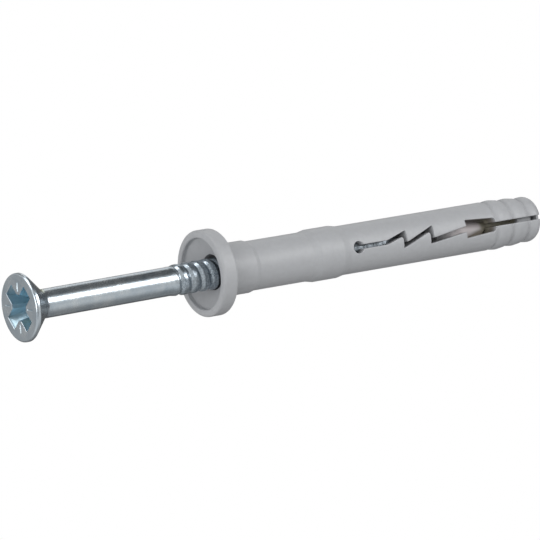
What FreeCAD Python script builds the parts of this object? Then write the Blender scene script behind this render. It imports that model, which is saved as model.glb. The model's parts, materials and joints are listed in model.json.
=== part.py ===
import FreeCAD, Part
import math
import os

import Sketcher
from FreeCAD import Rotation, Vector

# A hammer fixing plug: a slotted nylon sleeve with a collar, and a hammer screw partly pushed into it.
# It stands on the flat face of the screw's head. Each piece is drawn along its own X axis, from the
# collar or the head towards the tip, with Y across the slot and Z through the slot.
# All lengths are in millimetres and all angles in degrees.

SIZES = {
    # Sleeve: collar, with a cup that takes the screw's head
    "sleeve_length": 60.0,
    "collar_dia": 12.75,
    "collar_thick": 2.5,
    "collar_front_bevel": 0.33,
    "collar_back_bevel": 0.39,
    "cup_dia": 10.5,
    "cup_wall": 0.8,
    "cup_depth": 2.1,
    # Sleeve: thick root behind the collar, neck and shoulder ring
    "root_dia": 7.75,
    "root_length": 5.0,
    "root_ramp": 0.7,
    "neck_dia": 7.3,
    "neck_length": 9.5,
    "shoulder_dia": 7.8,
    "shoulder_length": 4.0,
    "shoulder_ramp": 1.25,
    "grip_dia": 7.3,
    # Sleeve: barbs and nose, counted back from the tip
    "barb_dia": 7.46,
    "barb_shrink": 0.3,
    "barb_depth": 0.29,
    "barb_pitch": 3.05,
    "barb_rise": 1.0,
    "nose_length": 2.9,
    "nose_round": 1.5,
    # Sleeve: slot, counted back from the tip
    "tip_slit_length": 9.3,
    "window_length": 5.45,
    "window_back_width": 2.76,
    "window_front_width": 1.96,
    "window_round": 0.55,
    "zigzag_tail": 6.3,
    "zigzag_pitch": 4.91,
    "zigzag_lead": 3.2,
    "zigzag_crest": 1.35,
    "zigzag_trough": 1.26,
    "zigzag_band": 0.8,
    "zigzag_mouth": 0.88,
    "zigzag_round": 0.35,
    "slit_lead": 5.15,
    "slit_width": 0.62,
    "relief_hole_dia": 1.8,
    # Sleeve: core bore, the tongue in the window, and the bridge and the end wall in the tip's slit
    "core_dia": 2.7,
    "core_taper": 4.0,
    "core_end_gap": 20.1,
    "core_end_cone": 1.3,
    "core_wall": 1.1,
    "tongue_root": 2.85,
    "tongue_root_dia": 5.0,
    "tongue_dia": 3.0,
    "tongue_shoulder": 12.3,
    "tongue_point": 2.6,
    "web_dia": 1.0,
    "bridge_dia": 3.8,
    "bridge_length": 2.85,
    "bridge_gap": 1.6,
    "end_wall_dia": 4.4,
    "end_wall_thick": 0.65,
    "end_wall_gap": 0.1,
    # Hammer screw
    "nail_length": 65.0,
    "nail_stand_out": 30.7,
    "head_dia": 9.95,
    "head_land": 0.7,
    "head_cone": 2.85,
    "head_bevel": 0.15,
    "head_blend": 0.4,
    "shank_dia": 4.22,
    "thread_dia": 4.6,
    "thread_before_collar": 4.9,
    "thread_ramp": 0.4,
    "point_length": 3.0,
    "point_dia": 1.8,
    # Drive recess
    "recess_reach": 3.5,
    "recess_width": 2.2,
    "recess_throat": 0.5,
    "recess_depth": 3.5,
    "recess_floor_reach": 1.75,
    "recess_floor_width": 1.5,
    "recess_floor_throat": 0.3,
    "mark_inner": 2.3,
    "mark_length": 1.45,
    "mark_width": 0.28,
    "mark_depth": 0.15,
    # Fit of the screw in the sleeve, which leans on it a little
    "bore_clearance": 0.06,
    "sleeve_lean": 0.45,
    "lean_turn": 21.9,
    "recess_turn": 55.9,
}
BARB_COUNT = 3
WINGS = 4

# The face marks stand midway between two wings of the recess
HALF_WING = 45.0

# How far a cut runs past the face that it opens through
PAST = 1.0

# How near an edge lies to the place where it is looked for
NEAR = 1e-3


class Size:
    """A length that knows both its value now and its expression from the sheet."""

    def __init__(self, value, text):
        self.value = value
        self.text = text

    def join(self, sign, other, value):
        text = other.text if isinstance(other, Size) else repr(float(other))
        return Size(value, "(%s %s %s)" % (self.text, sign, text))

    def __add__(self, other):
        return self.join("+", other, self.value + number(other))

    def __sub__(self, other):
        return self.join("-", other, self.value - number(other))

    def __mul__(self, other):
        return self.join("*", other, self.value * number(other))

    def __truediv__(self, other):
        return self.join("/", other, self.value / number(other))

    def __neg__(self):
        return Size(-self.value, "(-1 * %s)" % self.text)


def number(size):
    return size.value if isinstance(size, Size) else float(size)


def text(size):
    return size.text if isinstance(size, Size) else repr(float(size))


ZERO = Size(0.0, "0")
BEFORE_FACE = Size(-PAST, repr(-PAST))


# Document and sheet

doc = FreeCAD.newDocument("hammer_fixing_plug")
sheet = doc.addObject("Spreadsheet::Sheet", "sizes")
S = {}
for row, (alias, length) in enumerate(SIZES.items(), start=1):
    sheet.set("A%d" % row, alias)
    sheet.set("B%d" % row, str(length))
    sheet.setAlias("B%d" % row, alias)
    S[alias] = Size(length, "sizes." + alias)
doc.recompute()


# Helpers for sketches and features

def origin_plane(body, role):
    return next(f for f in body.Origin.OriginFeatures if f.Role == role)


def new_sketch(body, name, role, lift=None):
    """A sketch on one of the body's own planes, lifted off it along its normal."""
    sketch = body.newObject("Sketcher::SketchObject", name)
    sketch.AttachmentSupport = [(origin_plane(body, role), "")]
    sketch.MapMode = "FlatFace"
    if lift is not None:
        sketch.setExpression("AttachmentOffset.Base.z", text(lift))
    return sketch


def bind(sketch, kind, geometry, point, size):
    """Holds one coordinate of a point at a length from the sheet."""
    index = sketch.addConstraint(Sketcher.Constraint(kind, -1, 1, geometry, point, number(size)))
    sketch.setExpression("Constraints[%d]" % index, text(size))


def polygon(body, name, role, points, lift=None):
    """A closed outline of straight lines with every corner bound to the sheet."""
    sketch = new_sketch(body, name, role, lift)
    at = [Vector(number(x), number(y), 0) for x, y in points]
    count = len(at)
    for i in range(count):
        sketch.addGeometry(Part.LineSegment(at[i], at[(i + 1) % count]))
    for i in range(count):
        sketch.addConstraint(Sketcher.Constraint("Coincident", i, 2, (i + 1) % count, 1))
    for i, (x, y) in enumerate(points):
        bind(sketch, "DistanceX", i, 1, x)
        bind(sketch, "DistanceY", i, 1, y)
    return sketch


def revolved(body, kind, name, points):
    """A solid or a cut turned about the X axis from points given as station and radius."""
    sketch = polygon(body, name + "_profile", "XZ_Plane", points)
    turned = body.newObject(kind, name)
    turned.Profile = sketch
    turned.ReferenceAxis = (sketch, ["H_Axis"])
    turned.Angle = 360
    doc.recompute()
    return turned


def cut_through(body, name, sketch):
    """A cut along Z, out of the body on both sides of the sketch."""
    pocket = body.newObject("PartDesign::Pocket", name)
    pocket.Profile = sketch
    pocket.Type = "ThroughAll"
    pocket.Midplane = True
    doc.recompute()
    return pocket


def round_edges(body, name, radius, wanted):
    """A fillet on the edges of the body so far that pass the test."""
    base = body.Tip
    names = ["Edge%d" % (i + 1) for i, e in enumerate(base.Shape.Edges) if wanted(e)]
    if not names:
        raise ValueError("no edge found for " + name)
    fillet = body.newObject("PartDesign::Fillet", name)
    fillet.Base = (base, names)
    fillet.setExpression("Radius", text(radius))
    fillet.Radius = number(radius)
    doc.recompute()
    return fillet


def rim_at(station, radius):
    """Test for a circle about the X axis at a station and radius."""
    def wanted(edge):
        curve = edge.Curve
        return (isinstance(curve, Part.Circle)
                and abs(curve.Center.x - number(station)) < NEAR
                and abs(curve.Radius - number(radius)) < NEAR)
    return wanted


def upright_at(corners):
    """Test for straight edges along Z that stand on one of the corners."""
    def wanted(edge):
        low, high = edge.Vertexes[0].Point, edge.Vertexes[-1].Point
        if abs(low.x - high.x) > NEAR or abs(low.y - high.y) > NEAR or edge.Length < NEAR:
            return False
        return any(abs(low.x - number(x)) < NEAR and abs(low.y - number(y)) < NEAR
                   for x, y in corners)
    return wanted


# Stations of the sleeve, from the collar's front face

root_end = S["collar_thick"] + S["root_length"]
neck_start = root_end + S["root_ramp"]
shoulder_foot = neck_start + S["neck_length"]
shoulder_start = shoulder_foot + S["shoulder_ramp"]
shoulder_end = shoulder_start + S["shoulder_length"]
grip_start = shoulder_end + S["shoulder_ramp"]

window_end = S["sleeve_length"] - S["tip_slit_length"]
window_start = window_end - S["window_length"]
second_tooth = window_start - S["zigzag_tail"]
first_tooth = second_tooth - S["zigzag_pitch"]
zigzag_start = first_tooth - S["zigzag_lead"]
relief_hole = zigzag_start - S["slit_lead"]

nail_tip = S["nail_length"] - S["nail_stand_out"]
point_start = nail_tip - S["point_length"]


def barb_foot(index):
    """Station of the groove in front of a barb, counted from the collar side."""
    return S["sleeve_length"] - S["nose_length"] - S["barb_pitch"] * (BARB_COUNT - 1 - index)


def barb_radius(index):
    return S["barb_dia"] / 2 - S["barb_shrink"] / 2 * index


# Sleeve

def sleeve_outline():
    collar_radius = S["collar_dia"] / 2
    points = [
        (ZERO, ZERO),
        (ZERO, collar_radius - S["collar_front_bevel"]),
        (S["collar_front_bevel"], collar_radius),
        (S["collar_thick"] - S["collar_back_bevel"], collar_radius),
        (S["collar_thick"], collar_radius - S["collar_back_bevel"]),
        (S["collar_thick"], S["root_dia"] / 2),
        (root_end, S["root_dia"] / 2),
        (neck_start, S["neck_dia"] / 2),
        (shoulder_foot, S["neck_dia"] / 2),
        (shoulder_start, S["shoulder_dia"] / 2),
        (shoulder_end, S["shoulder_dia"] / 2),
        (grip_start, S["grip_dia"] / 2),
        (barb_foot(0) - S["barb_rise"], S["grip_dia"] / 2),
    ]
    for index in range(BARB_COUNT):
        points.append((barb_foot(index), barb_radius(index) - S["barb_depth"]))
        points.append((barb_foot(index) + S["barb_rise"], barb_radius(index)))
    points.append((S["sleeve_length"], barb_radius(BARB_COUNT - 1)))
    points.append((S["sleeve_length"], ZERO))
    return points


def cup_and_bore():
    """Cup, then a bore that widens towards the cup by the sleeve's lean, then the core bore."""
    snug = S["thread_dia"] / 2 + S["bore_clearance"]
    slope = math.tan(math.radians(SIZES["sleeve_lean"]))
    widening = Size(slope, "tan(sizes.sleeve_lean * 1 deg)")
    mouth = snug + (point_start - S["cup_depth"]) * widening
    taper_end = point_start + S["core_taper"]
    core_end = S["sleeve_length"] - S["core_end_gap"]
    return [
        (BEFORE_FACE, ZERO),
        (BEFORE_FACE, S["cup_dia"] / 2),
        (S["cup_wall"], S["cup_dia"] / 2),
        (S["cup_depth"], mouth),
        (point_start, snug),
        (taper_end, S["core_dia"] / 2),
        (core_end, S["core_dia"] / 2),
        (core_end + S["core_end_cone"], ZERO),
    ]


def slot_edge(side):
    """One long edge of the slot, from the relief hole to past the tip; side is 1 above, -1 below.

    The edge above drops behind each tooth's peak and the edge below drops in front of it, so the
    gap keeps its width through the steep runs.
    """
    half = S["slit_width"] / 2
    if side > 0:
        high = S["zigzag_crest"]
        low = S["zigzag_band"] - S["zigzag_trough"]
    else:
        high = S["zigzag_crest"] - S["zigzag_band"]
        low = -S["zigzag_trough"]
    edge = [(relief_hole, half * side), (zigzag_start, half * side)]
    for tooth in (first_tooth, second_tooth):
        edge.append((tooth + half * side, high))
        edge.append((tooth + half * side, low))
    edge += [
        (window_start, S["zigzag_mouth"] / 2 * side),
        (window_start, S["window_back_width"] / 2 * side),
        (window_end, S["window_front_width"] / 2 * side),
        (window_end, half * side),
        (S["sleeve_length"] + PAST, half * side),
    ]
    return edge


def tongue_outline():
    """The core left standing between the slot's two sides.

    It closes the core bore, grows to the tongue, which comes to a blunt point in the window, and
    goes on to the tip as a thin web that carries a thicker bridge and a thin end wall.
    """
    start = window_start - S["tongue_root"]
    shoulder = S["sleeve_length"] - S["tongue_shoulder"]
    web_start = shoulder + S["tongue_point"]
    bridge_end = S["sleeve_length"] - S["bridge_gap"]
    bridge_start = bridge_end - S["bridge_length"]
    wall_end = S["sleeve_length"] - S["end_wall_gap"]
    wall_start = wall_end - S["end_wall_thick"]
    return [
        (start - S["core_wall"], ZERO),
        (start - S["core_wall"], S["core_dia"] / 2),
        (start, S["core_dia"] / 2),
        (start, S["tongue_root_dia"] / 2),
        (shoulder, S["tongue_dia"] / 2),
        (web_start, S["web_dia"] / 2),
        (bridge_start, S["web_dia"] / 2),
        (bridge_start, S["bridge_dia"] / 2),
        (bridge_end, S["bridge_dia"] / 2),
        (bridge_end, S["web_dia"] / 2),
        (wall_start, S["web_dia"] / 2),
        (wall_start, S["end_wall_dia"] / 2),
        (wall_end, S["end_wall_dia"] / 2),
        (wall_end, ZERO),
    ]


def make_sleeve():
    body = doc.addObject("PartDesign::Body", "plug_sleeve")
    body.Label = "plug_sleeve"

    revolved(body, "PartDesign::Revolution", "sleeve_turned", sleeve_outline())
    nose = rim_at(S["sleeve_length"], barb_radius(BARB_COUNT - 1))
    round_edges(body, "nose", S["nose_round"], nose)
    revolved(body, "PartDesign::Groove", "cup_and_bore", cup_and_bore())

    above = slot_edge(1)
    below = slot_edge(-1)
    slot = polygon(body, "slot_profile", "XY_Plane", below + above[::-1])
    cut_through(body, "slot", slot)
    # corner 2 and corner 4 of the lower edge are the teeth's inner corners, corner 8 the window's
    round_edges(body, "tooth_corners", S["zigzag_round"], upright_at([below[2], below[4]]))
    round_edges(body, "window_corners", S["window_round"], upright_at([below[8], above[8]]))

    hole = new_sketch(body, "relief_hole_profile", "XY_Plane")
    radius = SIZES["relief_hole_dia"] / 2
    hole.addGeometry(Part.Circle(Vector(relief_hole.value, 0, 0), Vector(0, 0, 1), radius))
    bind(hole, "DistanceX", 0, 3, relief_hole)
    hole.addConstraint(Sketcher.Constraint("PointOnObject", 0, 3, -1))
    index = hole.addConstraint(Sketcher.Constraint("Diameter", 0, radius * 2))
    hole.setExpression("Constraints[%d]" % index, S["relief_hole_dia"].text)
    cut_through(body, "relief_hole", hole)

    # the tongue keeps the seams where it meets the slot's walls, because merging them spoils a face
    tongue = revolved(body, "PartDesign::Revolution", "tongue", tongue_outline())
    tongue.Refine = False
    doc.recompute()
    return body


# Hammer screw

def nail_outline():
    head_radius = S["head_dia"] / 2
    shank_radius = S["shank_dia"] / 2
    head_back = S["head_land"] + S["head_cone"]
    slope = (head_radius - shank_radius) / S["head_cone"]
    thread_start = S["nail_stand_out"] - S["thread_before_collar"]
    return [
        (ZERO, ZERO),
        (ZERO, head_radius - S["head_bevel"]),
        (S["head_bevel"], head_radius),
        (S["head_land"], head_radius),
        (head_back - S["head_blend"], shank_radius + slope * S["head_blend"]),
        (head_back + S["head_blend"], shank_radius),
        (thread_start, shank_radius),
        (thread_start + S["thread_ramp"], S["thread_dia"] / 2),
        (S["nail_length"] - S["point_length"], S["thread_dia"] / 2),
        (S["nail_length"], S["point_dia"] / 2),
        (S["nail_length"], ZERO),
    ]


def cross_outline(reach, width, throat):
    """A four winged cross with its inner corners cut off."""
    half = width / 2
    inner = half + throat
    quarter = [(reach, -half), (reach, half), (inner, half), (half, inner)]
    points = []
    for _ in range(WINGS):
        points += quarter
        quarter = [(-y, x) for x, y in quarter]
    return points


def make_nail():
    body = doc.addObject("PartDesign::Body", "nail_screw")
    body.Label = "nail_screw"

    revolved(body, "PartDesign::Revolution", "nail_turned", nail_outline())

    face = cross_outline(S["recess_reach"], S["recess_width"], S["recess_throat"])
    floor = cross_outline(S["recess_floor_reach"], S["recess_floor_width"], S["recess_floor_throat"])
    recess = body.newObject("PartDesign::SubtractiveLoft", "drive_recess")
    recess.Profile = polygon(body, "recess_face", "YZ_Plane", face)
    recess.Sections = [polygon(body, "recess_floor", "YZ_Plane", floor, S["recess_depth"])]
    recess.Ruled = True
    doc.recompute()

    half = S["mark_width"] / 2
    outer = S["mark_inner"] + S["mark_length"]
    mark = [(S["mark_inner"], -half), (outer, -half), (outer, half), (S["mark_inner"], half)]
    sketch = polygon(body, "face_mark_profile", "YZ_Plane", mark)
    sketch.AttachmentOffset = FreeCAD.Placement(Vector(), Rotation(Vector(0, 0, 1), HALF_WING))
    first = body.newObject("PartDesign::Pocket", "face_mark")
    first.Profile = sketch
    first.setExpression("Length", S["mark_depth"].text)
    first.Reversed = True
    doc.recompute()
    marks = body.newObject("PartDesign::PolarPattern", "face_marks")
    marks.Originals = [first]
    marks.Axis = (sketch, ["N_Axis"])
    marks.Angle = 360
    marks.Occurrences = WINGS
    body.Tip = marks
    doc.recompute()
    return body


# Standing pose

def stand_up(sleeve, nail):
    """Stands the screw on its head and leans the sleeve on it.

    The pieces' X axes point up and the slot faces the front, -Y. The sleeve leans about the start
    of the screw's point, because the bore is snug there and wider at the collar.
    """
    upright = Rotation(Vector(0, 0, 1), Vector(-1, 0, 0), Vector(0, -1, 0), "XYZ")
    spin = Rotation(Vector(1, 0, 0), SIZES["recess_turn"])
    nail.Placement = FreeCAD.Placement(Vector(), upright.multiply(spin))

    turn = math.radians(SIZES["lean_turn"])
    level = Vector(-math.sin(turn), math.cos(turn), 0)
    lean = Rotation(level, SIZES["sleeve_lean"])
    hinge = Vector(0, 0, SIZES["nail_length"] - SIZES["point_length"])
    leaning = FreeCAD.Placement(hinge, lean.multiply(upright))
    from_collar = FreeCAD.Placement(Vector(-number(point_start), 0, 0), Rotation())
    sleeve.Placement = leaning.multiply(from_collar)


def centre_on_origin(bodies):
    """Slides the pieces together until the middle of their box is over the origin."""
    boxes = [body.Shape.optimalBoundingBox(False, False) for body in bodies]
    middle_x = (min(box.XMin for box in boxes) + max(box.XMax for box in boxes)) / 2
    middle_y = (min(box.YMin for box in boxes) + max(box.YMax for box in boxes)) / 2
    back = FreeCAD.Placement(Vector(-middle_x, -middle_y, 0), Rotation())
    for body in bodies:
        body.Placement = back.multiply(body.Placement)


def check(bodies):
    """Stops if a feature failed or a piece is not one valid solid."""
    for item in doc.Objects:
        if "Invalid" in item.State or "Error" in item.State:
            raise RuntimeError("%s: %s" % (item.Name, item.State))
    for body in bodies:
        shape = body.Shape
        if shape.isNull() or not shape.isValid() or len(shape.Solids) != 1:
            raise RuntimeError(body.Label + " is not one valid solid")


sleeve = make_sleeve()
nail = make_nail()
stand_up(sleeve, nail)
doc.recompute()
centre_on_origin([sleeve, nail])
doc.recompute()
check([sleeve, nail])

os.makedirs("parts", exist_ok=True)
for body in (sleeve, nail):
    body.Shape.exportStep(os.path.join("parts", body.Label + ".step"))
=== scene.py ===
"""Looks of a hammer fixing plug: a grey nylon sleeve on a zinc plated hammer screw.

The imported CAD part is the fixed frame. Both pieces are drawn again here as fine surfaces with the
rounded edges, the thread and the grain that the solids leave out. Lengths on the plug are in
millimetres, and MM turns them into Blender's metres. A station is a place along a piece's own axis.
"""
import json
import math

import bpy
import numpy as np
from mathutils import Matrix, Vector


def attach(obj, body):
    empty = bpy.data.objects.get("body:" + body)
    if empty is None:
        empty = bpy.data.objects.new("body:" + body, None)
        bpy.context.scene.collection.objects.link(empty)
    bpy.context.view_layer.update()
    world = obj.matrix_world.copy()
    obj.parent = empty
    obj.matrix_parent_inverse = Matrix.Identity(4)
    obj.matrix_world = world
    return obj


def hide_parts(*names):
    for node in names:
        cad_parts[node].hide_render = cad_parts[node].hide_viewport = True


MM = 0.001
QUARTER_TURN = math.pi / 2

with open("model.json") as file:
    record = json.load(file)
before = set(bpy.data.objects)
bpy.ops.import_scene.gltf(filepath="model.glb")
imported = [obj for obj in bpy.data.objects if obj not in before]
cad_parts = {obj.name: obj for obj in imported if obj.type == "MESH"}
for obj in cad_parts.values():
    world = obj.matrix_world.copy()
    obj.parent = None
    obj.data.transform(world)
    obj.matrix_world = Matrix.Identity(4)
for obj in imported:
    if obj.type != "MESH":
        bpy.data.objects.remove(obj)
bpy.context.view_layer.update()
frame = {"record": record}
mounts = {mount["name"]: mount for mount in frame["record"]["mounts"]}

# Sleeve, with stations from the collar's front face
LENGTH = 59.86
COLLAR_R = 6.368
COLLAR_BACK = 2.5
CUP_R = 5.25
CUP_DEPTH = 2.1
ROOT_R = 3.875
NECK_R = 3.65
RING_R = 3.9
RING_MIDDLE = 20.95
GRIP_R = 3.65
EDGE = 0.11
QUARTER_COLUMNS = 27

# Bore: its mouth, the snug part round the screw, and the core bore with its cone
MOUTH_R = 2.59
SNUG_R = 2.36
SNUG_END = 31.3
CORE_R = 1.35
CORE_START = 35.3
CORE_END = 39.9
BORE_END = 41.2

# Slot: a round hole, a slit, two teeth as station, height and round, a window, and a slit again
HOLE_AT = 25.67
HOLE_R = 0.9
SLOT_START = HOLE_AT - HOLE_R
SLIT_HALF = 0.31
SLIT_END = 30.84
UPPER_TEETH = [(34.34, 1.35, 0.12), (34.34, -0.42, 0.13), (39.25, 1.42, 0.12), (39.25, -0.46, 0.13)]
LOWER_TEETH = [(33.73, 0.53, 0.35), (33.73, -1.28, 0.12), (38.64, 0.6, 0.35), (38.64, -1.26, 0.12)]
WINDOW_START = 45.25
WINDOW_END = 50.7

# Screw, with stations from the head's face
SCREW_LENGTH = 65.0
HEAD_R = 4.975
RIM_ROUND = 0.34
RIM_DEPTH = 0.7
CONE_END = 3.55
SHANK_R = 2.11
POINT_START = 62.0
POINT_TAPER = 0.6

# Drive recess: its wings' reach, width and cut throat, at the face and on the floor
WINGS_AT_FACE = (3.5, 2.2, 0.5)
WINGS_AT_FLOOR = (1.75, 1.5, 0.3)
WING_TURNS = np.arange(4) * QUARTER_TURN
RECESS_DEPTH = 3.5
RECESS_LIP = 0.12
RECESS_TURN = 55.9

# Short marks on the face, midway between the wings
MARK_START = 2.3
MARK_END = 3.75
MARK_HALF = 0.15
MARK_DEPTH = 0.13

# Rolled thread: the root is deeper where it is seen than in the sleeve, and shares are of a turn
PITCH = 1.7
CREST_R = 2.3
SHOWN_ROOT_R = 2.02
HIDDEN_ROOT_R = 2.18
THREAD_START = 24.7
THREAD_FADE = 2.0
THREAD_TURN = 0.22
SHOWN_END = 31.2
HIDDEN_START = 33.0
STEEP_SHARE = 0.28
FALL_SHARE = 0.30
FALL_END = 0.92


# Outlines and meshes

def smooth(share):
    """Smooth step of a share, an array or a link: three times its square less twice its cube."""
    return share * share * (3 - 2 * share)


def rounded(corners, step):
    """A polyline with its corners rounded.

    Each corner is x, y and a radius. The round is the circle's arc that touches both runs, so it
    starts radius * tan(half the turn) before the corner and ends as far behind it. Straight runs
    are divided into steps, and each point comes back with its distance along the path.
    """
    corners = np.asarray(corners, float)
    arc_step = 0.17
    points = [corners[0, :2]]
    for before, corner, after in zip(corners[:-2], corners[1:-1], corners[2:]):
        way_in = corner[:2] - before[:2]
        way_out = after[:2] - corner[:2]
        way_in /= np.linalg.norm(way_in)
        way_out /= np.linalg.norm(way_out)
        cross = way_in[0] * way_out[1] - way_in[1] * way_out[0]
        turn = math.atan2(cross, float(way_in @ way_out))
        radius = corner[2]
        if radius <= 0 or abs(turn) < 1e-6:
            points.append(corner[:2])
            continue
        start = corner[:2] - way_in * radius * math.tan(abs(turn) / 2)
        side = math.copysign(1.0, turn)
        centre = start + side * radius * np.array([-way_in[1], way_in[0]])
        angles = np.linspace(0.0, turn, max(4, int(abs(turn) / arc_step)) + 1)
        spoke = start - centre
        arc = np.stack([np.cos(angles) * spoke[0] - np.sin(angles) * spoke[1],
                        np.sin(angles) * spoke[0] + np.cos(angles) * spoke[1]], 1)
        points.extend(centre + arc)
    points.append(corners[-1, :2])
    points = np.array(points)
    runs = np.linalg.norm(np.diff(points, axis=0), axis=1)
    path = np.concatenate([[0.0], np.cumsum(runs)])
    keep = np.concatenate([[True], runs > 1e-7])
    path, points = path[keep], points[keep]
    extra = [np.linspace(a, b, int((b - a) / step) + 2)[1:-1] for a, b in zip(path[:-1], path[1:])]
    along = np.unique(np.concatenate([path] + extra))
    return along, np.stack([np.interp(along, path, points[:, k]) for k in (0, 1)], 1)


def points_at(station, across, depth):
    """Points from their three coordinates, each spread to the shape of all."""
    return np.stack(np.broadcast_arrays(station, across, depth), -1)


def turned(station, radius, angle):
    """Points on circles about the axis: radius * sine across and radius * cosine deep."""
    return points_at(station, radius * np.sin(angle), radius * np.cos(angle))


def grid_faces(rows, columns, around=False):
    """Quads of a grid of vertices that is stored row by row, closed across the columns if around."""
    i = np.arange(rows - 1)[:, None] * columns
    j = np.arange(columns if around else columns - 1)[None, :]
    k = (j + 1) % columns
    return np.stack([i + j, i + k, i + columns + k, i + columns + j], -1).reshape(-1, 4)


class Shell:
    """Collects grids of points into one mesh in a piece's own millimetre frame."""

    def __init__(self):
        self.points = []
        self.faces = []
        self.count = 0

    def grid(self, points, around=False, flip=False):
        """Adds rows x columns points as quads."""
        rows, columns = points.shape[:2]
        faces = grid_faces(rows, columns, around) + self.count
        self.faces.append(faces[:, ::-1] if flip else faces)
        self.points.append(points.reshape(-1, 3))
        self.count += rows * columns

    def mesh(self, name, matrix, sharp_deg):
        """Welds the grids' common borders, and marks edges over the angle as sharp."""
        weld_per_mm = 2e4
        points = np.concatenate(self.points)
        faces = np.concatenate(self.faces)
        _, first, index = np.unique(np.round(points * weld_per_mm).astype(np.int64), axis=0,
                                    return_index=True, return_inverse=True)
        points = points[first]
        faces = index.reshape(-1)[faces]
        world = (points * MM) @ matrix[:3, :3].T + matrix[:3, 3]
        # a welded quad lists a corner twice, which makes it a triangle or nothing
        corners = [tuple(dict.fromkeys(face)) for face in faces.tolist()]
        corners = [face for face in corners if len(face) > 2]
        data = bpy.data.meshes.new(name)
        data.from_pydata(world.tolist(), [], corners)
        data.validate()
        data.shade_smooth()
        data.set_sharp_from_angle(angle=math.radians(sharp_deg))
        obj = bpy.data.objects.new(name, data)
        bpy.context.scene.collection.objects.link(obj)
        return obj


def axis_frame(origin, axis, across):
    """4 x 4 matrix: own X along axis, own Y as near to across as a right angle allows."""
    x = np.asarray(axis, float)
    x /= np.linalg.norm(x)
    z = np.cross(x, np.asarray(across, float))
    z /= np.linalg.norm(z)
    matrix = np.eye(4)
    matrix[:3] = np.stack([x, np.cross(z, x), z, origin], 1)
    return matrix


# Sleeve

def barb(start, foot):
    """A barb's foot, front, crest and back: station, radius and the corner's round."""
    return [(start, foot, 0.1), (start + 0.4, foot + 0.27, 0.3),
            (start + 1.2, foot + 0.35, 0.8), (start + 2.5, foot + 0.17, 0.6)]


# Station, radius and round of each corner, from the cup's floor round the collar to the tip
SLEEVE_OUTLINE = [
    (CUP_DEPTH, 2.63, 0), (0.8, CUP_R, 0.25), (0.0, CUP_R, 0.22), (0.0, COLLAR_R, 0.45),
    (COLLAR_BACK, COLLAR_R, 0.36), (COLLAR_BACK, ROOT_R, 0.15), (7.5, ROOT_R, 0.3),
    (8.2, NECK_R, 0.35), (17.7, NECK_R, 0.6), (RING_MIDDLE - 2.0, RING_R, 0.4),
    (RING_MIDDLE + 2.0, RING_R, 0.4), (24.2, GRIP_R, 0.6), (50.5, GRIP_R, 0.5),
    *barb(51.0, 3.4), *barb(54.05, 3.25),
    (57.1, 3.1, 0.1), (57.5, 3.37, 0.3), (58.2, 3.44, 0.6), (59.3, 3.42, 1.4),
    (LENGTH, 1.5, 0.5), (LENGTH, 1.0, 0)]

# The same for the core: the bar with its blunt point, the web, the bridge and the end wall
CORE_OUTLINE = [
    (41.3, 0.0, 0), (41.3, 1.35, 0), (41.7, 1.4, 0.3), (43.4, 2.45, 1.0), (45.4, 1.82, 0.5),
    (49.3, 1.35, 0.4), (51.0, 0.5, 0.3), (55.5, 0.5, 0.05), (55.6, 2.15, 0.15),
    (58.2, 2.15, 0.25), (58.3, 0.9, 0.1), (58.95, 0.9, 0.05), (59.0, 2.5, 0.1),
    (59.5, 2.3, 0.2), (59.76, 1.6, 0.1), (59.76, 0.0, 0)]


def outside_behind_collar():
    """Stations and radii of the outside from behind the collar to the tip, off the outline."""
    _, points = rounded(SLEEVE_OUTLINE, 0.1)
    behind = points[np.argmax(points[:, 0] > COLLAR_BACK + 1):]
    last = np.argmax(behind[:, 0] >= LENGTH - 1e-6)
    return behind[:last + 1].T


OUTSIDE = outside_behind_collar()


def outer_radius(t):
    """Radius of the outside at a station behind the collar."""
    return np.interp(t, *OUTSIDE)


def bore_radius(t):
    """Radius of the bore at a station: it narrows to the snug part, the core bore and its cone."""
    return np.interp(t, [CUP_DEPTH, SNUG_END, CORE_START, CORE_END, BORE_END],
                     [MOUTH_R, SNUG_R, CORE_R, CORE_R, 0.0])


def slot_edge(side):
    """Edge of the slot as station and height, for side 1 above the slot and -1 below it.

    The hole's arc runs in steps of 8 degrees to the corner where the circle meets the slit, which
    lies the root of its radius squared less the slit's half width squared behind its middle.
    """
    swing = np.radians(np.arange(0, 160, 8))
    hole = [(HOLE_AT - HOLE_R * math.cos(a), HOLE_R * math.sin(a), 0.0) for a in swing]
    slit = [(HOLE_AT + math.sqrt(HOLE_R**2 - SLIT_HALF**2), SLIT_HALF, 0.08),
            (SLIT_END, SLIT_HALF, 0.4)]
    teeth = UPPER_TEETH if side > 0 else LOWER_TEETH
    window = [(WINDOW_START, 0.44, 0.12), (WINDOW_START, 1.38, 0.2),
              (WINDOW_END, 0.98, 0.55), (WINDOW_END, SLIT_HALF, 0.12)]
    tip = [(LENGTH, SLIT_HALF, EDGE), (LENGTH, SLIT_HALF + EDGE, 0)]
    before = [(t, h * side, r) for t, h, r in hole + slit]
    behind = [(t, h * side, r) for t, h, r in window + tip]
    return rounded(before + teeth + behind, 0.15)


def smooth_station(path, station):
    """Mean of the edge's station over a moving window, so that it always rises along the path.

    Past both ends the station goes on with a slope of 0.8 of the path, and the means are
    stretched so that the first and the last station stay.
    """
    half_window = 1.3
    slope = 0.8
    fine = np.linspace(path[0] - half_window, path[-1] + half_window, 6000)
    value = np.interp(fine, path, station)
    value += slope * (np.minimum(fine - path[0], 0) + np.maximum(fine - path[-1], 0))
    width = int(half_window / (fine[1] - fine[0]))
    total = np.concatenate([[0.0], np.cumsum(value)])
    centre = np.arange(width, len(fine) - width)
    mean = (total[centre + width] - total[centre - width]) / (2 * width)
    result = np.interp(path, fine[centre], mean)
    share = (result - result[0]) / (result[-1] - result[0])
    return station[0] + share * (station[-1] - station[0])


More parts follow.
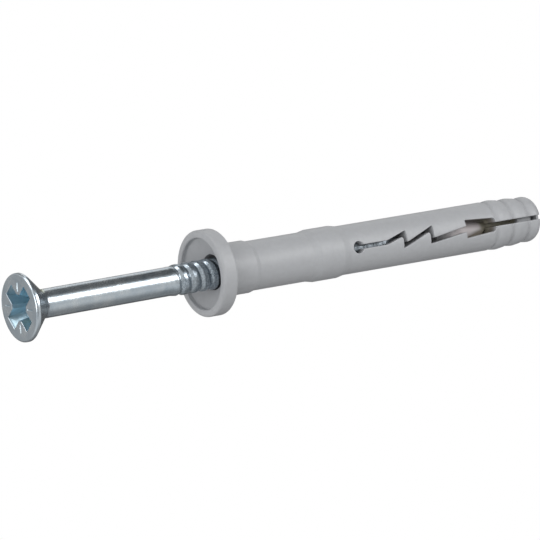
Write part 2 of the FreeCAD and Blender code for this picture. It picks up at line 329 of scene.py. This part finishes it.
def edge_normal(path, edge, side):
    """Unit normal of the slot's edge, away from the slot; set square at the hole and the tip."""
    tangent = np.gradient(edge, path, axis=0)
    tangent /= np.linalg.norm(tangent, axis=1, keepdims=True)
    normal = np.stack([-tangent[:, 1], tangent[:, 0]], 1) * side
    normal[0] = (-1.0, 0.0)
    normal[-3:] = (0.0, side)
    return normal


def half_sleeve(shell, side):
    """One side of the slotted part, above the slot for side 1 and below it for side -1.

    Each row is a closed loop: rounded edge, outside, rounded edge, wall of the slot, bore, wall.
    On the edge the row's station is the slot edge's own; away from it the station eases to the
    smoothed one, so rows fan out round the teeth. Points on the round lie on the edge's normal.
    Where the bore has ended, the wall goes on to the middle plane.
    """
    path, edge = slot_edge(side)
    normal = edge_normal(path, edge, side)
    level = smooth_station(path, edge[:, 0])[:, None]
    level[0] = SLOT_START - EDGE
    at, height = edge[:, :1], edge[:, 1:]

    turn = np.linspace(0, QUARTER_TURN, 5)
    off = EDGE * (1 - np.cos(turn))
    t = np.minimum(at + normal[:, :1] * off, LENGTH)
    h = height + normal[:, 1:] * off
    r = np.maximum(outer_radius(t) - EDGE * (1 - np.sin(turn)), np.abs(h) + 0.02)
    lip = points_at(t, h, np.sqrt(r**2 - h**2))

    share = np.linspace(0, 1, QUARTER_COLUMNS)[1:]
    ease = smooth(np.clip(share * 2.2, 0, 1))
    t, h = t[:, -1:], h[:, -1:]
    start = np.arcsin(np.clip(h * side / outer_radius(t), -1, 1))
    angle = start + (QUARTER_TURN - start) * share
    station = t * (1 - ease) + level * ease
    outside = turned(station, outer_radius(station), angle) * (1, side, 1)

    bore_r = np.maximum(bore_radius(at), np.abs(height) + 1e-4)
    open_bore = bore_radius(at) > np.abs(height)
    z_out = lip[:, :1, 2]
    z_in = np.where(open_bore, np.sqrt(bore_r**2 - height**2), z_out * 0.35)
    wall = points_at(at, height, z_out + (z_in - z_out) * np.linspace(0, 1, 4)[1:-1])

    swing = np.linspace(0, 1, 13)
    start = np.arcsin(np.clip(height * side / bore_r, -1, 1))
    angle = start + (QUARTER_TURN - start) * swing
    station = at + (np.minimum(level, BORE_END - 0.2) - at) * np.clip(swing * 2, 0, 1)
    round_bore = turned(station, np.maximum(bore_radius(station), 1e-3), angle) * (1, side, 1)
    flat_wall = points_at(at, height, z_in * (1 - swing))
    bore = np.where(open_bore[..., None], round_bore, flat_wall)

    front = np.concatenate([bore[:, ::-1], wall[:, ::-1], lip, outside], axis=1)
    back = front[:, ::-1] * (1, 1, -1)
    loop = np.concatenate([front, back[:, 1:-1]], axis=1)
    shell.grid(loop, around=True, flip=side > 0)

    # the end face: the last loop shrinks on to a point of its own plane
    middle = np.array([LENGTH, side * 1.1, 0.0])
    shell.grid(np.stack([loop[-1] * (1 - k) + middle * k for k in (0.0, 0.5, 1.0)]),
               around=True, flip=side > 0)


def closed_tube(shell):
    """Collar, root, neck, ring and the closed part of the grip: the outline turned about the axis.

    The columns outside are the slotted part's, so that the two weld, and the bore has its own.
    """
    end = SLOT_START - EDGE
    _, outline = rounded(SLEEVE_OUTLINE, 0.35)
    outline = outline[outline[:, 0] < end - 1e-3]
    outline = np.concatenate([outline, [[end, outer_radius(end)]]])
    quarter = QUARTER_TURN * np.linspace(0, 1, QUARTER_COLUMNS)
    half = np.concatenate([quarter, math.pi - quarter[::-1][1:]])
    angle = np.concatenate([half, -half[::-1][1:-1]])
    shell.grid(turned(outline[:, :1], outline[:, 1:], angle), around=True, flip=True)

    t = np.append(np.linspace(CUP_DEPTH, 24.0, 24), SLOT_START)[:, None]
    swing = np.linspace(0, math.tau, 96, endpoint=False)
    shell.grid(turned(t, bore_radius(t), swing), around=True)


def tongue(shell):
    """Core between the slot's sides: a bar with a blunt point, a web, a bridge and an end wall.

    The outline is turned about the axis, and the bar hangs a little below it at the window.
    """
    _, outline = rounded(CORE_OUTLINE, 0.25)
    swing = np.linspace(0, math.tau, 48, endpoint=False)
    t, r = outline[:, :1], outline[:, 1:]
    sag = np.interp(t, [43.4, 45.4, 49.3, 51.0], [0.0, 0.42, 0.42, 0.0])
    shell.grid(points_at(t, r * np.sin(swing) - sag, r * np.cos(swing)), around=True, flip=True)


def make_sleeve(matrix):
    """The nylon moulding: closed tube, the two sides of the slotted part, and the tongue."""
    shell = Shell()
    closed_tube(shell)
    half_sleeve(shell, 1)
    half_sleeve(shell, -1)
    tongue(shell)
    return shell.mesh("nylon_sleeve", matrix, 38)


# Screw

def wings(reach, width, throat):
    """Outline of a four winged cross, each quarter in the same number of steps.

    A quarter runs across a wing's end, in along the wing's side, over the cut throat and out along
    the next wing's side. The other three are the first one turned.
    """
    half = width / 2
    corners = np.array([(reach, -half), (reach, half), (half + throat, half), (half, half + throat),
                        (half, reach)])
    steps = (8, 10, 20, 10)
    quarter = np.concatenate([a + (b - a) * np.linspace(0, 1, n, endpoint=False)[:, None]
                              for a, b, n in zip(corners[:-1], corners[1:], steps)])
    turns = [np.array([[math.cos(k), -math.sin(k)], [math.sin(k), math.cos(k)]])
             for k in WING_TURNS]
    return np.concatenate([quarter @ turn.T for turn in turns])


def face_marks(y, z):
    """Depth of the four short marks: a groove along each ray midway between two wings.

    The depth's share falls in a straight line to 0 at both sides and is raised to the power 0.7.
    At the groove's ends it runs out over 0.1.
    """
    depth = np.zeros_like(y)
    for a in WING_TURNS + QUARTER_TURN / 2:
        along = y * math.cos(a) + z * math.sin(a)
        across = -y * math.sin(a) + z * math.cos(a)
        groove = np.clip(1 - np.abs(across) / MARK_HALF, 0, 1)
        ends = np.clip(np.minimum(along - MARK_START, MARK_END - along) / 0.1, 0, 1)
        depth = np.maximum(depth, MARK_DEPTH * groove**0.7 * ends)
    return depth


def ring(t, yz):
    """A row of points over an outline across the axis, at one station or each at its own."""
    return points_at(t, yz[:, 0], yz[:, 1])


def face_rows(outline, unit):
    """Rows from the middle of the recess's floor up its walls, round its lip and over the face.

    The walls go straight from the floor's outline to the face's, the lip is a quarter circle, and
    the face goes straight from the lip's outline to the circle where the rim's round starts.
    """
    floor = wings(*WINGS_AT_FLOOR)
    lip = outline * (1 + RECESS_LIP / np.linalg.norm(outline, axis=1, keepdims=True))
    rim = unit * (HEAD_R - RIM_ROUND)
    rows = [ring(RECESS_DEPTH, floor * k) for k in (0.0, 0.4, 0.8, 0.96)]
    rows += [ring(RECESS_DEPTH + (RECESS_LIP - RECESS_DEPTH) * k, floor + (outline - floor) * k)
             for k in np.linspace(0.02, 1, 14)]
    rows += [ring(RECESS_LIP * (1 - math.sin(k)), outline + (lip - outline) * (1 - math.cos(k)))
             for k in np.radians((20, 38, 56, 73, 90))]
    for k in np.linspace(0, 1, 30)[1:]:
        yz = lip + (rim - lip) * k
        rows.append(ring(face_marks(yz[:, 0], yz[:, 1]), yz))
    return rows


def thread_radius(t, angle):
    """Rolled right-hand thread: a steep side towards the head, a wide crest and a gentler fall.

    A turn's share runs from 0 at the foot of its steep side to 1 at the next foot. Both sides are
    crowned: the rise is 1.2 c less a fifth of c cubed, where c is the share of the side climbed.
    The thread fades in behind its start, and the radius falls in a straight line at the point.
    """
    phase = ((t - THREAD_START) / PITCH + THREAD_TURN - angle / math.tau) % 1
    climb = np.clip(np.minimum(phase / STEEP_SHARE, (FALL_END - phase) / FALL_SHARE), 0, 1)
    rise = climb * (1.2 - 0.2 * climb**2)
    fade = smooth(np.clip((t - THREAD_START) / THREAD_FADE, 0, 1))
    hidden = np.clip((t - HIDDEN_START) / 2.0, 0, 1)
    root = SHOWN_ROOT_R + (HIDDEN_ROOT_R - SHOWN_ROOT_R) * hidden
    r = SHANK_R + (root - SHANK_R) * fade + (CREST_R - root) * rise * fade
    end = np.clip((t - POINT_START) / (SCREW_LENGTH - POINT_START), 0, 1)
    return r * (1 - end * POINT_TAPER)


def make_screw(matrix):
    """The hammer screw: face with its recess, rim, cone and shank, then the thread to the point.

    Every row has the angles of the recess's outline, so that the columns run on to the point.
    """
    shell = Shell()
    outline = wings(*WINGS_AT_FACE)
    angle = np.arctan2(outline[:, 1], outline[:, 0])
    unit = np.stack([np.cos(angle), np.sin(angle)], 1)
    _, side = rounded([(0.0, 4.0, 0), (0.0, HEAD_R, RIM_ROUND), (RIM_DEPTH, HEAD_R, 0.12),
                       (CONE_END, SHANK_R, 1.0), (THREAD_START, SHANK_R, 0)], 0.7)
    rows = face_rows(outline, unit)
    rows += [ring(t, unit * r) for t, r in side[side[:, 0] > 1e-4]]
    shell.grid(np.stack(rows), around=True)

    t = np.concatenate([np.arange(THREAD_START, SHOWN_END, 0.085),
                        np.arange(SHOWN_END, POINT_START, 0.142),
                        np.linspace(POINT_START, SCREW_LENGTH, 12)])[:, None]
    r = thread_radius(t, angle)
    points = points_at(t, r * unit[:, 0], r * unit[:, 1])
    end = np.broadcast_to((SCREW_LENGTH, 0.0, 0.0), points[-1:].shape)
    shell.grid(np.concatenate([points, end]), around=True)
    return shell.mesh("zinc_screw", matrix, 40)


# Materials

class Link:
    """A node's output that can be used in sums; each operator adds one Math node."""

    def __init__(self, tree, socket):
        self.tree = tree
        self.socket = socket

    def out(self, name):
        """Another output of the same node."""
        return Link(self.tree, self.socket.node.outputs[name])

    def math(self, operation, first, second):
        """A Math node on two values or links."""
        return self.tree.add("ShaderNodeMath", {"operation": operation}, {0: first, 1: second})

    def __add__(self, other):
        return self.math("ADD", self, other)

    def __radd__(self, other):
        return self.math("ADD", other, self)

    def __sub__(self, other):
        return self.math("SUBTRACT", self, other)

    def __rsub__(self, other):
        return self.math("SUBTRACT", other, self)

    def __mul__(self, other):
        return self.math("MULTIPLY", self, other)

    def __rmul__(self, other):
        return self.math("MULTIPLY", other, self)

    def __truediv__(self, other):
        return self.math("DIVIDE", self, other)

    def clamp(self):
        """The value, held between 0 and 1."""
        return self.tree.add("ShaderNodeClamp", {}, {"Value": self})

    def over(self, low, high):
        """0 up to low, 1 from high on, and a straight rise between them."""
        return ((self - low) / (high - low)).clamp()


class Tree:
    """A node tree and the one way to add a node to it."""

    def __init__(self, owner):
        owner.use_nodes = True
        self.tree = owner.node_tree
        self.tree.nodes.clear()

    def add(self, kind, settings, inputs, output=0):
        """A node of a type, its settings first, then each input's value or link."""
        node = self.tree.nodes.new(kind)
        for name, value in settings.items():
            setattr(node, name, value)
        for name, value in inputs.items():
            if isinstance(value, Link):
                self.tree.links.new(value.socket, node.inputs[name])
            else:
                node.inputs[name].default_value = value
        return Link(self, node.outputs[output]) if len(node.outputs) else node

    def mix(self, factor, first, second):
        """Blend of two colours."""
        return self.add("ShaderNodeMix", {"data_type": "RGBA"},
                        {0: factor, 6: first, 7: second}, output=2)

    def vector(self, operation, first, second, output="Vector"):
        """A Vector Math node, whose number comes from the output Value."""
        return self.add("ShaderNodeVectorMath", {"operation": operation},
                        {0: first, 1: second}, output)

    def noise(self, where, scale, detail=3.0, rough=0.5):
        """Soft noise with so many waves to the metre."""
        return self.add("ShaderNodeTexNoise", {},
                        {"Vector": where, "Scale": scale, "Detail": detail, "Roughness": rough})

    def along_and_off(self, way_from_start, axis):
        """Millimetres along an axis and off it.

        Along is the dot product of the way from the start with the axis, and off is the length of
        their cross product.
        """
        along = self.vector("DOT_PRODUCT", way_from_start, tuple(axis), "Value")
        across = self.vector("CROSS_PRODUCT", way_from_start, tuple(axis))
        off = self.vector("LENGTH", across, (0.0, 0.0, 0.0), "Value")
        return along / MM, off / MM


def linear(red, green, blue):
    """Linear colour from 0 to 255 display values."""
    c = np.array([red, green, blue]) / 255
    c = np.where(c <= 0.04045, c / 12.92, ((c + 0.055) / 1.055)**2.4)
    return (float(c[0]), float(c[1]), float(c[2]), 1.0)


def nylon(face, way):
    """Mid grey moulded nylon: satin, with a fine grain, faint clouding and a painted shade inside.

    The painted shade inside is darker and warmer, and darkest at the window. The tongue's tapered
    bar is a painted light, a little lighter and warmer than the outside, and the web behind it is
    a yellower painted shade. Masks come from the station and the distance from the axis.
    """
    material = bpy.data.materials.new("grey_nylon")
    tree = Tree(material)
    where = tree.add("ShaderNodeTexCoord", {}, {}, "Object")
    from_face = tree.vector("SUBTRACT", where, tuple(face))
    station, off_axis = tree.along_and_off(from_face, way)
    behind_cup = station.over(CUP_DEPTH + 0.3, CUP_DEPTH + 0.9) * (1 - station.over(55.6, 56.2))
    window = (station.over(WINDOW_START - 0.45, WINDOW_START + 0.35)
              * (1 - station.over(WINDOW_END - 0.2, WINDOW_END + 0.8)))
    # Mask of the tongue's bar, which is painted lighter, as if lit through the window
    tapered = off_axis + (station - 42.4) * 0.19
    bar = (1 - tapered.over(2.58, 2.75)) * station.over(41.6, 44.0)
    # Mask of the web, which is painted as a darker, yellower shade
    web = station.over(49.0, 49.8) * (1 - off_axis.over(1.4, 1.8)) * behind_cup
    # Painted shade inside the bore, left off the tongue's bar
    inside = (1 - off_axis.over(2.4, 3.4)) * (1 - bar) * behind_cup

    cloud = tree.noise(where, 190.0, 2.0)
    grain = tree.noise(where, 5200.0, 2.0)
    speck = tree.noise(where, 1500.0, 4.0)
    colour = tree.mix(cloud, linear(165, 167, 170), linear(173, 175, 178))
    colour = tree.mix(speck.over(0.35, 0.75) * 0.5, colour, linear(160, 161, 164))
    # Painted shade: darker inside, and a darker, browner shade at the window
    colour = tree.mix(inside, colour, linear(148, 148, 150))
    colour = tree.mix(inside * window, colour, linear(118, 112, 103))
    # Painted light on the tongue's bar
    colour = tree.mix(bar, colour, linear(182, 176, 177))
    # Painted shade on the web
    colour = tree.mix(web, colour, linear(146, 142, 128))
    rough = 0.40 + grain * 0.08 + cloud * 0.06
    relief = grain * 0.6 + speck * 0.7
    bump = tree.add("ShaderNodeBump", {},
                    {"Strength": 0.22, "Distance": 0.03 * MM, "Height": relief})
    shader = tree.add("ShaderNodeBsdfPrincipled", {}, {
        "Base Color": colour, "Roughness": rough, "Normal": bump, "IOR": 1.53})
    tree.add("ShaderNodeOutputMaterial", {}, {"Surface": shader})
    return material


def zinc(face):
    """Bright blue passivated zinc plate: a faint mottle, drawn streaks, and scratches on the face.

    The recess is bluer, the neck under the head has a yellow-green patch, the thread is duller and
    speckled, and the part inside the sleeve is a darker painted shade. The neck's patch is a ball
    round a point; the other masks come from the height over the face and the distance from the axis.
    """
    material = bpy.data.materials.new("zinc_plated_steel")
    tree = Tree(material)
    where = tree.add("ShaderNodeTexCoord", {}, {}, "Object")
    own = tree.vector("SUBTRACT", where, tuple(face))
    height, off_axis = tree.along_and_off(own, (0.0, 0.0, 1.0))
    off_stain = tree.vector("DISTANCE", own, tuple(Vector((-2.7, -1.1, 2.6)) * MM), "Value") / MM
    recess = height.over(0.03, 0.2) * (1 - (off_axis + height * 0.5).over(3.72, 3.8))
    stain = 1 - off_stain.over(0.6, 1.8)
    threaded = height.over(25.0, 26.8)
    # Mask of the screw inside the sleeve, which is painted darker as shade
    hidden = height.over(32.8, 34.0)

    cloud = tree.noise(where, 420.0, 4.0, 0.6)
    fine = tree.noise(where, 4200.0, 3.0)
    drawn_along = tree.add("ShaderNodeMapping", {}, {"Vector": own, "Scale": (1.0, 1.0, 0.035)})
    streak = tree.noise(drawn_along, 2600.0, 3.0)
    on_face = tree.add("ShaderNodeMapping", {}, {"Vector": own, "Rotation": (0.0, 0.0, 0.6),
                                                 "Scale": (1.0, 0.05, 1.0)})
    scratch = tree.noise(on_face, 2400.0, 2.0).over(0.5, 0.8) * (1 - height.over(0.05, 0.1))

    colour = tree.mix(cloud.over(0.3, 0.7), linear(183, 196, 206), linear(212, 219, 223))
    dull = tree.mix(fine.over(0.42, 0.6), linear(104, 116, 126), linear(176, 187, 196))
    colour = tree.mix(threaded * 0.6, colour, dull)
    colour = tree.mix(recess * 0.85, colour, linear(178, 204, 216))
    colour = tree.mix(stain * 0.85, colour, linear(206, 210, 122))
    # Painted shade on the screw inside the sleeve
    colour = tree.mix(hidden * 0.7, colour, linear(140, 146, 152))
    rough = 0.16 + cloud * 0.14 + fine * 0.05 + (hidden + recess) * 0.12 + threaded * 0.04
    relief = (fine + streak * 0.6) * (1 - recess * 0.8) + cloud * 0.5 - scratch
    bump = tree.add("ShaderNodeBump", {},
                    {"Strength": 0.25, "Distance": 0.02 * MM, "Height": relief})
    shader = tree.add("ShaderNodeBsdfPrincipled", {}, {
        "Base Color": colour, "Metallic": 1.0, "Roughness": rough, "Normal": bump})
    tree.add("ShaderNodeOutputMaterial", {}, {"Surface": shader})
    return material


# Stage

def one_sided_floor():
    """Pale floor under the head that is seen only from above, because the photo looks from below.

    It is clear from behind, and clear to rays that started closer than 8 millimetres, so that the
    head's face and recess, which stand on it, are lit and mirrored as they are in the photo.
    """
    span = 6.0
    data = bpy.data.meshes.new("floor")
    data.from_pydata([(-span, -span, 0), (span, -span, 0), (span, span, 0), (-span, span, 0)],
                     [], [(0, 1, 2, 3)])
    data.transform(Matrix.Translation((0, 0, -0.05 * MM)))
    floor = bpy.data.objects.new("floor", data)
    bpy.context.scene.collection.objects.link(floor)
    material = bpy.data.materials.new("pale_floor")
    tree = Tree(material)
    matte = tree.add("ShaderNodeBsdfDiffuse", {}, {"Color": (0.86, 0.86, 0.86, 1)})
    clear = tree.add("ShaderNodeBsdfTransparent", {}, {})
    below = tree.add("ShaderNodeNewGeometry", {}, {}, "Backfacing")
    path = tree.add("ShaderNodeLightPath", {}, {})
    near = path.math("LESS_THAN", path.out("Ray Length"), 8 * MM)
    surface = tree.add("ShaderNodeMixShader", {}, {0: (below + near).clamp(), 1: matte, 2: clear})
    tree.add("ShaderNodeOutputMaterial", {}, {"Surface": surface})
    data.materials.append(material)
    floor.visible_shadow = False


def patch(tree, toward, inner, outer):
    """Soft round patch of the surroundings: 1 within inner degrees of a direction, 0 past outer."""
    way = tree.add("ShaderNodeTexCoord", {}, {}, "Generated")
    near = tree.vector("DOT_PRODUCT", way, tuple(Vector(toward).normalized()), "Value")
    return smooth(near.over(math.cos(math.radians(outer)), math.cos(math.radians(inner))))


def backdrop():
    """White for what the camera and clear things see, and a plain grey level for the light itself.

    The light is dimmer on one side. Metal mirrors a studio of its own: a dark wall beside the plug,
    dim patches opposite, over, behind, under and in front of it, and a small bright strip low on
    the dark side that draws the head's edges.
    """
    world = bpy.data.worlds.new("studio")
    bpy.context.scene.world = world
    tree = Tree(world)
    path = tree.add("ShaderNodeLightPath", {}, {})
    seen = (path.out("Is Camera Ray") + path.out("Is Transmission Ray")).clamp()
    glossy = path.out("Is Glossy Ray")
    dark = patch(tree, (-0.834, 0.102, 0.54), 36, 58)
    dim = patch(tree, (0.688, 0.482, 0.54), 20, 72)
    above = patch(tree, (0.0, -0.45, 0.89), 14, 36)
    behind = patch(tree, (0.0, 0.75, 0.66), 12, 48)
    below = patch(tree, (0.0, 0.843, -0.538), 15, 60)
    front = patch(tree, (0.0, -0.92, -0.39), 20, 52)
    strip = patch(tree, (-0.86, -0.12, -0.48), 12, 26)
    mirrored = 0.10 + (0.60 - 0.60 * dark - 0.44 * dim - 0.50 * above - 0.30 * behind
                       - 0.27 * below - 0.54 * front).clamp() + 3.0 * strip
    plain = 0.58 - 0.25 * patch(tree, (0.95, 0.0, 0.3), 10, 90)
    level = seen + (1 - seen) * (glossy * mirrored + (1 - glossy) * plain)
    light = tree.add("ShaderNodeBackground", {}, {"Color": (1, 1, 1, 1), "Strength": level})
    tree.add("ShaderNodeOutputWorld", {}, {"Surface": light})


def lamp(name, toward, distance, size, brightness, for_metal=False):
    """A soft rectangular lamp, so many metres from the plug's middle; mirrored, 1 looks white.

    A lamp for the metal is only mirrored, so that it makes no pool of light on the floor.
    """
    data = bpy.data.lights.new(name, "AREA")
    data.shape = "RECTANGLE"
    data.size, data.size_y = size
    data.energy = brightness * math.pi * size[0] * size[1]
    obj = bpy.data.objects.new(name, data)
    back = Vector(toward).normalized()
    obj.location = Vector((0, 0, 45 * MM)) + back * distance
    obj.rotation_euler = back.to_track_quat("Z", "Y").to_euler()
    obj.visible_camera = False
    obj.visible_diffuse = not for_metal
    bpy.context.scene.collection.objects.link(obj)


def photo_camera():
    """The photograph's camera: 333 mm on a 36 mm frame, below the floor and turned on its side."""
    data = bpy.data.cameras.new("photo_camera")
    data.sensor_width = 36.0
    data.lens = 333.33
    camera = bpy.data.objects.new("photo_camera", data)
    right = Vector((0.1729, -0.5307, 0.8297)).normalized()
    forward = Vector((0.0056, 0.8429, 0.5381)).normalized()
    up = right.cross(forward).normalized()
    forward = up.cross(right).normalized()
    turn = Matrix((right, up, -forward)).transposed()
    place = Matrix.Translation((-0.002895, -0.615902, -0.350487))
    camera.matrix_world = place @ turn.to_4x4()
    bpy.context.scene.collection.objects.link(camera)
    bpy.context.scene.camera = camera


# Assembly

axis = mounts["drilled_hole_fit"]["axis"]
on_axis = np.array(mounts["drilled_hole_fit"]["pos_m"])
collar_face = on_axis - np.array(axis) * RING_MIDDLE * MM
sleeve_frame = axis_frame(collar_face, axis, (-1, 0, 0))

head_face = np.array(mounts["drive_recess"]["pos_m"])
spin = math.radians(RECESS_TURN)
screw_frame = axis_frame(head_face, (0, 0, 1), (-math.cos(spin), -math.sin(spin), 0))

sleeve = make_sleeve(sleeve_frame)
sleeve.data.materials.append(nylon(collar_face, axis))
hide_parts("plug_sleeve")
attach(sleeve, "root")

screw = make_screw(screw_frame)
screw.data.materials.append(zinc(head_face))
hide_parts("nail_screw")
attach(screw, "root")

photo_camera()
one_sided_floor()
backdrop()
lamp("key", (-0.275, -0.794, 0.54), 0.55, (0.25, 0.36), 4.3)
lamp("top", (-0.64, 0.54, 0.54), 0.55, (0.30, 0.30), 0.8)
lamp("face", (-0.10, -0.45, -0.89), 0.50, (0.30, 0.30), 3.0)
lamp("glint", (-0.93, -0.03, -0.34), 0.088, (0.038, 0.026), 3.4, for_metal=True)

bpy.context.scene.view_settings.view_transform = "Standard"
